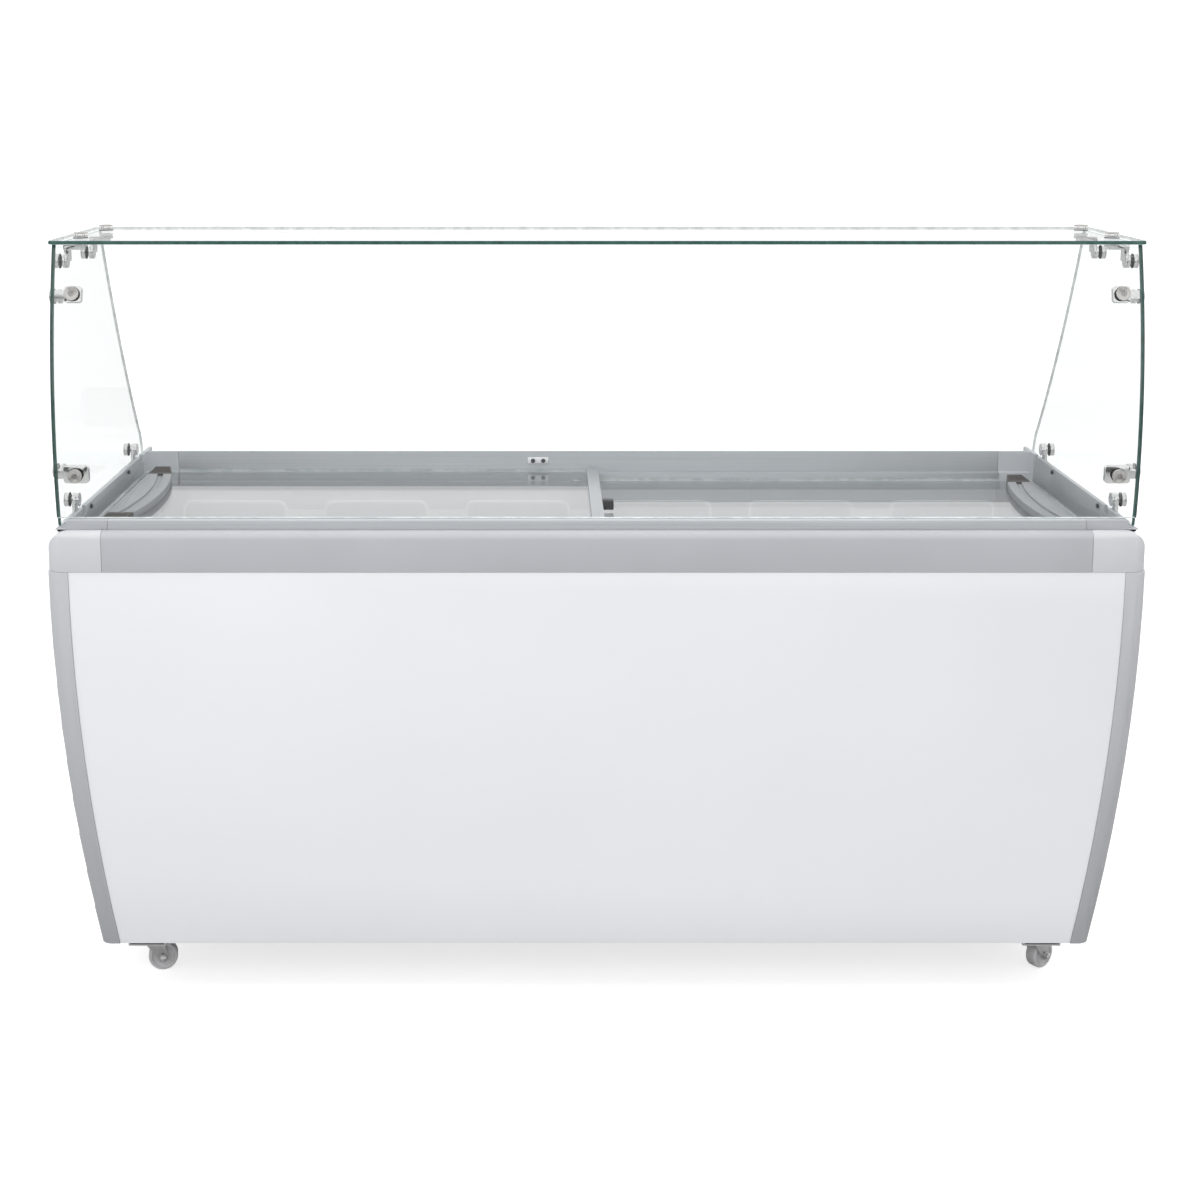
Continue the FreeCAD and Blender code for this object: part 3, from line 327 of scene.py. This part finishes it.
alongX, alongY = (3, 900, 900), (900, 3, 900)
# the pillars' colour, and the painted shade that darkens it towards the foot
pillar = {"colour": (0.56, 0.565, 0.59), "paintedShadeShare": 0.66, "top": 0.73, "foot": 0.09}
finish = {
    "whiteSteel": coatedSteel("whiteSteel", (0.858, 0.865, 0.893)),
    "bandPlastic": mouldedPlastic("bandPlastic", (0.505, 0.512, 0.544)),
    "cornerPlastic": mouldedPlastic("cornerPlastic", (0.655, 0.662, 0.69)),
    "pillarPlastic": mouldedPlastic("pillarPlastic", pillar["colour"]),
    "collarAlongX": brushedMetal("collarAlongX", (0.58, 0.602, 0.628), alongX, metallic=0.55),
    "rearCollarAlongX": brushedMetal("rearCollarAlongX", (0.47, 0.49, 0.515), alongX, metallic=0.55),
    "collarAlongY": brushedMetal("collarAlongY", (0.46, 0.48, 0.5), alongY, metallic=0.55),
    "collarPlastic": mouldedPlastic("collarPlastic", (0.44, 0.455, 0.48)),
    "linerSheet": coatedSteel("linerSheet", (0.78, 0.785, 0.8)),
    # pure white for the pads' rims, a painted highlight
    "padRimHighlight": coatedSteel("padRimHighlight", (1.0, 1.0, 1.0)),
    "foam": mouldedPlastic("foam", (0.75, 0.66, 0.4), (0.8, 0.9), 500, 0.6),
    "aluminiumTube": brushedMetal("aluminiumTube", (0.7, 0.7, 0.72), alongX),
    "zincSteel": brushedMetal("zincSteel", (0.6, 0.6, 0.6), (60, 60, 60), (0.3, 0.5)),
    "blackShell": coatedSteel("blackShell", (0.02, 0.02, 0.02)),
    "copperTube": brushedMetal("copperTube", (0.75, 0.38, 0.22), alongX),
    "blackPlastic": mouldedPlastic("blackPlastic", (0.025, 0.025, 0.027)),
    "darkRubber": softRubber("darkRubber", (0.03, 0.03, 0.03)),
    "whitePlastic": mouldedPlastic("whitePlastic", (0.85, 0.85, 0.85), (0.25, 0.35)),
    "pane": clearPane("pane", (0.985, 0.991, 0.99), 0.02, 0.3),
    "lidPane": clearPane("lidPane", (0.985, 0.99, 0.992), 0.04, 0.9),
    "paneEdge": glassEdge("paneEdge", (0.03, 0.09, 0.075)),
    "paleEdge": glassEdge("paleEdge", (0.8, 0.87, 0.855)),
    "ringPlastic": clearPane("ringPlastic", (0.8, 0.83, 0.83), 0.25, 0.5),
    "brushedCap": brushedMetal("brushedCap", (0.6, 0.59, 0.57), (1500, 1500, 60), (0.2, 0.34), strength=0.4),
    "chrome": brushedMetal("chrome", (0.8, 0.795, 0.79), (400, 400, 400), (0.06, 0.14)),
    "handlePlastic": mouldedPlastic("handlePlastic", (0.25, 0.262, 0.275)),
    "gripRubber": softRubber("gripRubber", (0.058, 0.052, 0.048)),
    "wheelRubber": softRubber("wheelRubber", (0.6, 0.6, 0.61)),
    "darkSteel": brushedMetal("darkSteel", (0.1, 0.1, 0.11), (300, 300, 300), (0.3, 0.45)),
    "studioFloor": mouldedPlastic("studioFloor", studio["floor"], (0.6, 0.7), 60, 0.02),
}
# painted shade on the pillars, darker towards the floor
paintShadeDown(finish["pillarPlastic"], pillar["colour"], pillar["paintedShadeShare"], pillar["top"], pillar["foot"])
print("finishes made:", len(finish))

lightWorld()
hangLamps()
standCards(finish["blackPlastic"])
layFloor(finish["studioFloor"])
print("studio ready:", len(studio["lamps"]), "lamps")

wornBy = {
    "whiteSteel": ["front_panel", "rear_panel", "right_end_panel", "left_end_panel"],
    "pillarPlastic": ["front_pillars", "rear_pillars"],
    "bandPlastic": ["front_band", "rear_band", "right_band", "left_band"],
    "cornerPlastic": ["band_corners"],
    "collarAlongX": ["front_collar"],
    "rearCollarAlongX": ["rear_collar"],
    "collarAlongY": ["right_collar", "left_collar"] + [lid + "_lid_edge" for lid in lids],
    "collarPlastic": ["collar_corners"],
    "linerSheet": ["liner"],
    "foam": ["foam_insulation"],
    "aluminiumTube": ["evaporator_coil", "condenser"],
    "zincSteel": ["base_frame", "caster_plates", "fan_motor"] + [corner + "_caster_fork" for corner in corners],
    "blackShell": ["compressor"],
    "copperTube": ["refrigerant_lines"],
    "blackPlastic": ["fan_blade", "rear_grille", "control_box", "thermostat_knob", "power_switch", "lock_body"],
    "darkRubber": ["cord_gland", "drain_plug"],
    "whitePlastic": ["drain_tube", "lid_stop"],
    "pane": ["front_glass", "top_glass", "right_side_glass", "left_side_glass"],
    "lidPane": [lid + "_lid_glass" for lid in lids],
    "chrome": ["top_clamps", "front_clamps", "base_posts", "lock_plug"],
    "darkSteel": ["collar_screws"],
    "handlePlastic": [lid + "_lid_handle" for lid in lids],
    "gripRubber": [lid + "_lid_grips" for lid in lids],
    "wheelRubber": [corner + "_caster_wheel" for corner in corners],
}
for chosen, wearers in wornBy.items():
    for node in wearers:
        paint(nodes[node], finish[chosen])
print("nodes painted:", sum(len(wearers) for wearers in wornBy.values()))


def pick(thing):
    bpy.ops.object.select_all(action="DESELECT")
    thing.select_set(True)
    bpy.context.view_layer.objects.active = thing


def pickFaces(piece, wanted):
    # marks faces in object mode, then enters edit mode with them selected
    pick(piece)
    for group in (piece.data.vertices, piece.data.edges, piece.data.polygons):
        group.foreach_set("select", [False] * len(group))
    for face in piece.data.polygons:
        face.select = wanted(face)
    bpy.ops.object.mode_set(mode="EDIT")
    bpy.ops.mesh.select_mode(type="FACE")


def roundOff(piece, width, segments=2, sharp=30, smooth=35):
    # edges sharper than one angle are rounded, and shading is smooth below the other
    pick(piece)
    rounding = piece.modifiers.new("rounding", "BEVEL")
    rounding.width = width
    rounding.segments = segments
    rounding.limit_method = "ANGLE"
    rounding.angle_limit = math.radians(sharp)
    bpy.ops.object.modifier_apply(modifier="rounding")
    bpy.ops.object.shade_smooth_by_angle(angle=math.radians(smooth))


weld = {"gap": 0.000002, "flat": 0.3}  # metres, degrees


def softCopy(node, width, segments=2, sharp=30, smooth=35):
    # a copy of the node's mesh, made whole, with its sharp edges rounded
    piece = bpy.data.objects.new(node + "_soft", nodes[node].data.copy())
    bpy.context.collection.objects.link(piece)
    pick(piece)
    bpy.ops.object.mode_set(mode="EDIT")
    bpy.ops.mesh.select_all(action="SELECT")
    bpy.ops.mesh.remove_doubles(threshold=weld["gap"])
    bpy.ops.mesh.dissolve_limited(angle_limit=math.radians(weld["flat"]))
    bpy.ops.object.mode_set(mode="OBJECT")
    roundOff(piece, width, segments, sharp, smooth)
    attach(piece, bodyOf[node])
    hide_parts(node)
    return piece


# radius of the soft edge on the sheet, moulded and machined pieces
softEdges = {
    "front_panel": 0.0005, "rear_panel": 0.0005, "right_end_panel": 0.0005, "left_end_panel": 0.0005,
    "front_pillars": 0.0014, "rear_pillars": 0.0014,
    "front_band": 0.0012, "rear_band": 0.0012, "right_band": 0.0012, "left_band": 0.0012,
    "band_corners": 0.0012,
    "front_collar": 0.0006, "rear_collar": 0.0006, "right_collar": 0.0006, "left_collar": 0.0006,
    "collar_corners": 0.0012, "liner": 0.0022,
    "left_lid_edge": 0.0006, "right_lid_edge": 0.0006,
    "left_lid_handle": 0.0012, "right_lid_handle": 0.0012,
    "left_lid_grips": 0.0012, "right_lid_grips": 0.0012,
    "lid_stop": 0.0008, "lock_body": 0.0008, "lock_plug": 0.0004, "collar_screws": 0.0008,
    "top_clamps": 0.0008, "front_clamps": 0.0009, "base_posts": 0.0007,
    "rear_grille": 0.0006, "control_box": 0.0008, "thermostat_knob": 0.0006, "power_switch": 0.0006,
    "cord_gland": 0.0006, "caster_plates": 0.0005,
}
for corner in corners:
    softEdges[corner + "_caster_fork"] = 0.0005
    softEdges[corner + "_caster_wheel"] = 0.0018
soft = {node: softCopy(node, width) for node, width in softEdges.items()}
print("edges softened:", len(soft))

# the liner's pressed pads get a painted highlight on their rims, pure white standing in for light caught along
# the pressed edges; walls are the depths of the two long walls
pads = {"low": 0.49, "high": 0.735, "reach": 0.81, "walls": (-0.277, 0.243), "skin": 0.0055,
        "square": 0.98, "smallest": 0.02, "largest": 0.06, "rim": 0.0045}


def onPad(face):
    return (pads["low"] < face.center.z < pads["high"] and abs(face.center.x) < pads["reach"]
            and any(abs(face.center.y - wall) < pads["skin"] for wall in pads["walls"]))


def padFace(face):
    return (onPad(face) and abs(face.normal.y) > pads["square"]
            and pads["smallest"] < face.area < pads["largest"])


liner = soft["liner"]
liner.data.materials.append(finish["padRimHighlight"])
pickFaces(liner, padFace)
bpy.ops.mesh.inset(thickness=pads["rim"], use_individual=True)
bpy.ops.object.mode_set(mode="OBJECT")
# the inset bands round each pad take the painted highlight
rims = [face for face in liner.data.polygons
        if onPad(face) and not padFace(face) and face.area < pads["smallest"]]
for face in rims:
    face.material_index = 1
print("pad rims:", len(rims))

# panes: clear faces, dark green where an edge faces the customer, pale elsewhere
panes = {
    "top_glass": {"ground": 0.0009, "dark": "y"},
    "front_glass": {"ground": 0.0007, "dark": "x"},
    "right_side_glass": {"ground": 0.0007, "dark": "y"},
    "left_side_glass": {"ground": 0.0007, "dark": "y"},
    "left_lid_glass": {"ground": 0.0007, "dark": ""},
    "right_lid_glass": {"ground": 0.0007, "dark": ""},
}
grinding = {"segments": 1, "sharp": 50, "smooth": 12, "clear": 0.9, "frontOn": 0.5}
curveAxis = Vector((0, 0.68, 0.952))  # of the front pane's bend


def paneNormal(node, point):
    if node == "front_glass":
        return Vector((0, point.y - curveAxis.y, point.z - curveAxis.z)).normalized()
    return Vector((1, 0, 0)) if "side" in node else Vector((0, 0, 1))


for node, pane in panes.items():
    piece = softCopy(node, pane["ground"], grinding["segments"], grinding["sharp"], grinding["smooth"])
    piece.data.materials.append(finish["paneEdge"])
    piece.data.materials.append(finish["paleEdge"])
    for face in piece.data.polygons:
        if abs(face.normal.dot(paneNormal(node, face.center))) < grinding["clear"]:
            towardsFront = pane["dark"] == "y" and face.normal.y < -grinding["frontOn"]
            towardsSide = pane["dark"] == "x" and abs(face.normal.x) > grinding["frontOn"]
            face.material_index = 1 if towardsFront or towardsSide else 2
print("panes ground:", len(panes))


# small hardware, each shape modelled once at the origin, facing up
def innermost(piece):
    # the flat face nearest the axis; slivers with four corners or fewer come last
    flat = [face for face in piece.data.polygons if face.normal.z > 0.9]
    return min(flat, key=lambda face: face.center.xy.length + (0 if len(face.vertices) > 4 else 1))


def turnedPiece(name, shape):
    # a disc: each step insets the middle face, then raises or sinks what is left
    bpy.ops.object.select_all(action="DESELECT")
    bpy.ops.mesh.primitive_cylinder_add(vertices=shape["sides"], radius=shape["radius"], depth=shape["rise"],
                                        location=(0, 0, shape["rise"] / 2))
    piece = bpy.context.object
    piece.name = name
    bpy.ops.object.transform_apply(location=True, rotation=True, scale=True)
    for inset, rise in shape["steps"]:
        middle = innermost(piece).index
        pickFaces(piece, lambda face: face.index == middle)
        bpy.ops.mesh.inset(thickness=inset)
        if rise:
            bpy.ops.mesh.extrude_region_move(TRANSFORM_OT_translate={"value": (0, 0, rise)})
        bpy.ops.object.mode_set(mode="OBJECT")
    roundOff(piece, shape["softness"])
    return piece


def softBar(name, place, size, softness):
    bpy.ops.object.select_all(action="DESELECT")
    bpy.ops.mesh.primitive_cube_add(size=1, location=place)
    piece = bpy.context.object
    piece.name = name
    piece.scale = size
    bpy.ops.object.transform_apply(location=True, rotation=True, scale=True)
    roundOff(piece, softness)
    return piece


def copyTo(master, name, at, towards, finishName, body="cabinet"):
    turn = Vector(towards).to_track_quat("Z", "Y").to_matrix().to_4x4()
    turn.translation = Vector(at)
    mesh = master.data.copy()
    mesh.transform(turn)
    piece = bpy.data.objects.new(name, mesh)
    bpy.context.collection.objects.link(piece)
    paint(piece, finish[finishName])
    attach(piece, body)
    return piece


# socket caps and rubber seals on the clamps' discs
capShape = {"radius": 0.0117, "rise": 0.0014, "steps": [(0.0016, -0.0004), (0.0052, -0.0012)],
            "softness": 0.0005, "sides": 40}
sealShape = {"radius": 0.0123, "rise": 0.0009, "steps": [(0.0012, 0.0002)], "softness": 0.0003, "sides": 40}
clampSeats = {
    "topAcross": 0.851, "sideAcross": 0.893, "frontSideAcross": 0.892,
    "topHeight": 1.277, "underTopHeight": 1.231, "footHeight": 0.828,
    "topDepths": (-0.22, -0.04), "footDepths": (-0.22, 0.23),
    "frontOnSide": ((-0.2616, 1.1766), (-0.2861, 0.891)),
    "frontHeights": (1.184, 0.889), "frontRadius": 1.005,
    "topThick": 0.008, "sideThick": 0.007, "frontSideThick": 0.006, "frontThick": 0.005,
}
cap = turnedPiece("capMaster", capShape)
seal = turnedPiece("sealMaster", sealShape)
frontDiscs = []
for height in clampSeats["frontHeights"]:
    tip = math.asin(height - curveAxis.z)
    outward = Vector((0, -math.cos(tip), math.sin(tip)))
    frontDiscs.append((curveAxis + outward * clampSeats["frontRadius"], outward))
capPlaces = []
for side in (-1, 1):
    outwards = (side, 0, 0)
    topX, sideX = side * clampSeats["topAcross"], side * clampSeats["sideAcross"]
    for depth in clampSeats["topDepths"]:
        capPlaces.append(((topX, depth, clampSeats["topHeight"]), (0, 0, 1), clampSeats["topThick"]))
        capPlaces.append(((sideX, depth, clampSeats["underTopHeight"]), outwards, clampSeats["sideThick"]))
    for depth in clampSeats["footDepths"]:
        capPlaces.append(((sideX, depth, clampSeats["footHeight"]), outwards, clampSeats["sideThick"]))
    for depth, height in clampSeats["frontOnSide"]:
        at = (side * clampSeats["frontSideAcross"], depth, height)
        capPlaces.append((at, outwards, clampSeats["frontSideThick"]))
    for place, outward in frontDiscs:
        capPlaces.append(((topX, place.y, place.z), tuple(outward), clampSeats["frontThick"]))
for number, (at, outward, thick) in enumerate(capPlaces):
    copyTo(cap, f"clamp_cap_{number + 1}", at, outward, "brushedCap")
    foot = Vector(at) - Vector(outward) * thick
    copyTo(seal, f"clamp_seal_{number + 1}", foot, outward, "darkRubber")
print("clamp caps and seals:", len(capPlaces))

# pan heads with a driver recess, in the side collars and the lids' stop
headShape = {"radius": 0.0042, "rise": 0.0012, "steps": [(0.0011, 0.0005), (0.0014, -0.0008)],
             "softness": 0.0004, "sides": 28}
collarHeads = {"across": 0.86, "depths": (-0.18, 0.11), "height": 0.808}
stopHeads = {"across": (-0.108, -0.088), "depth": 0.27, "height": 0.798}
head = turnedPiece("headMaster", headShape)
headPlaces = []
for side in (-1, 1):
    for depth in collarHeads["depths"]:
        headPlaces.append(((side * collarHeads["across"], depth, collarHeads["height"]), (-side, 0, 0)))
for across in stopHeads["across"]:
    headPlaces.append(((across, stopHeads["depth"], stopHeads["height"]), (0, -1, 0)))
for number, (at, outward) in enumerate(headPlaces):
    copyTo(head, f"screw_head_{number + 1}", at, outward, "darkSteel")
print("screw heads:", len(headPlaces))

# caster trim: a ball race under the plate and domed axle nuts
raceShape = {"radius": 0.0135, "rise": 0.0042, "steps": [(0.002, -0.0008)], "softness": 0.0009, "sides": 40}
domeShape = {"radius": 0.0052, "rise": 0.0022, "steps": [(0.0014, 0.0008)], "softness": 0.0006, "sides": 24}
casterTrim = {"raceHeight": 0.0548, "axleHeight": 0.025, "trail": 0.016, "nutReach": 0.0192}
casters = {
    "front_left": {"pin": (-0.765, -0.25), "turn": 10}, "front_right": {"pin": (0.765, -0.25), "turn": 37},
    "rear_left": {"pin": (-0.765, 0.25), "turn": 0}, "rear_right": {"pin": (0.765, 0.25), "turn": 0},
}
race = turnedPiece("raceMaster", raceShape)
dome = turnedPiece("domeMaster", domeShape)
for name, caster in casters.items():
    x, y = caster["pin"]
    copyTo(race, name + "_race", (x, y, casterTrim["raceHeight"]), (0, 0, 1), "chrome", name + "_swivel")
    turned = math.radians(caster["turn"])
    trail = Vector((math.cos(turned), math.sin(turned), 0)) * casterTrim["trail"]
    axle = Vector((-math.sin(turned), math.cos(turned), 0))
    for way in (-1, 1):
        at = Vector((x, y, casterTrim["axleHeight"])) + trail + axle * way * casterTrim["nutReach"]
        copyTo(dome, f"{name}_nut_{'outer' if way < 0 else 'inner'}", at, axle * way, "chrome", name + "_swivel")
print("caster trim done:", len(casters))

# ribs across the rubber grips, which follow the handle's bowed inner edge
rib = {"wide": 0.0022, "high": 0.001, "sunk": 0.0002, "pitch": 0.0085, "count": 6, "start": 0.012,
       "inset": 0.003, "softness": 0.0004}
handle = {"middle": -0.005, "reach": 0.235, "arc": 0.9, "inner": 0.776, "outer": 0.836,
          "tops": {"left": 0.795, "right": 0.779}}
for lid, side in (("left", -1), ("right", 1)):
    for end in (-1, 1):
        for number in range(rib["count"]):
            along = end * (handle["reach"] - rib["start"] - number * rib["pitch"])
            bow = handle["arc"] - math.sqrt(handle["arc"] ** 2 - along ** 2)
            inner = handle["inner"] + bow + rib["inset"]
            outer = handle["outer"] - rib["inset"]
            place = (side * (inner + outer) / 2, handle["middle"] + along,
                     handle["tops"][lid] + rib["high"] / 2 - rib["sunk"])
            piece = softBar(f"{lid}_grip_rib_{'front' if end < 0 else 'rear'}_{number + 1}", place,
                            (outer - inner, rib["wide"], rib["high"]), rib["softness"])
            paint(piece, finish["gripRubber"])
            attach(piece, lid + "_lid")

# the finger ring let into the left lid
ringShape = {"radius": 0.0095, "rise": 0.0012, "steps": [(0.0022, 0), (0.0005, -0.0006)],
             "softness": 0.0003, "sides": 40, "place": (-0.026, 0.158, 0.781)}
ring = turnedPiece("ringMaster", ringShape)
copyTo(ring, "left_lid_ring", ringShape["place"], (0, 0, 1), "ringPlastic", "left_lid")

# pointer mark on the thermostat knob
knobMark = {"place": (0.6, 0.3391, 0.3605), "size": (0.0016, 0.0006, 0.008), "softness": 0.0002}
mark = softBar("knob_mark", knobMark["place"], knobMark["size"], knobMark["softness"])
paint(mark, finish["whitePlastic"])
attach(mark, "thermostat")

for master in (cap, seal, head, race, dome, ring):
    bpy.data.objects.remove(master)
print("lid and control trim done")
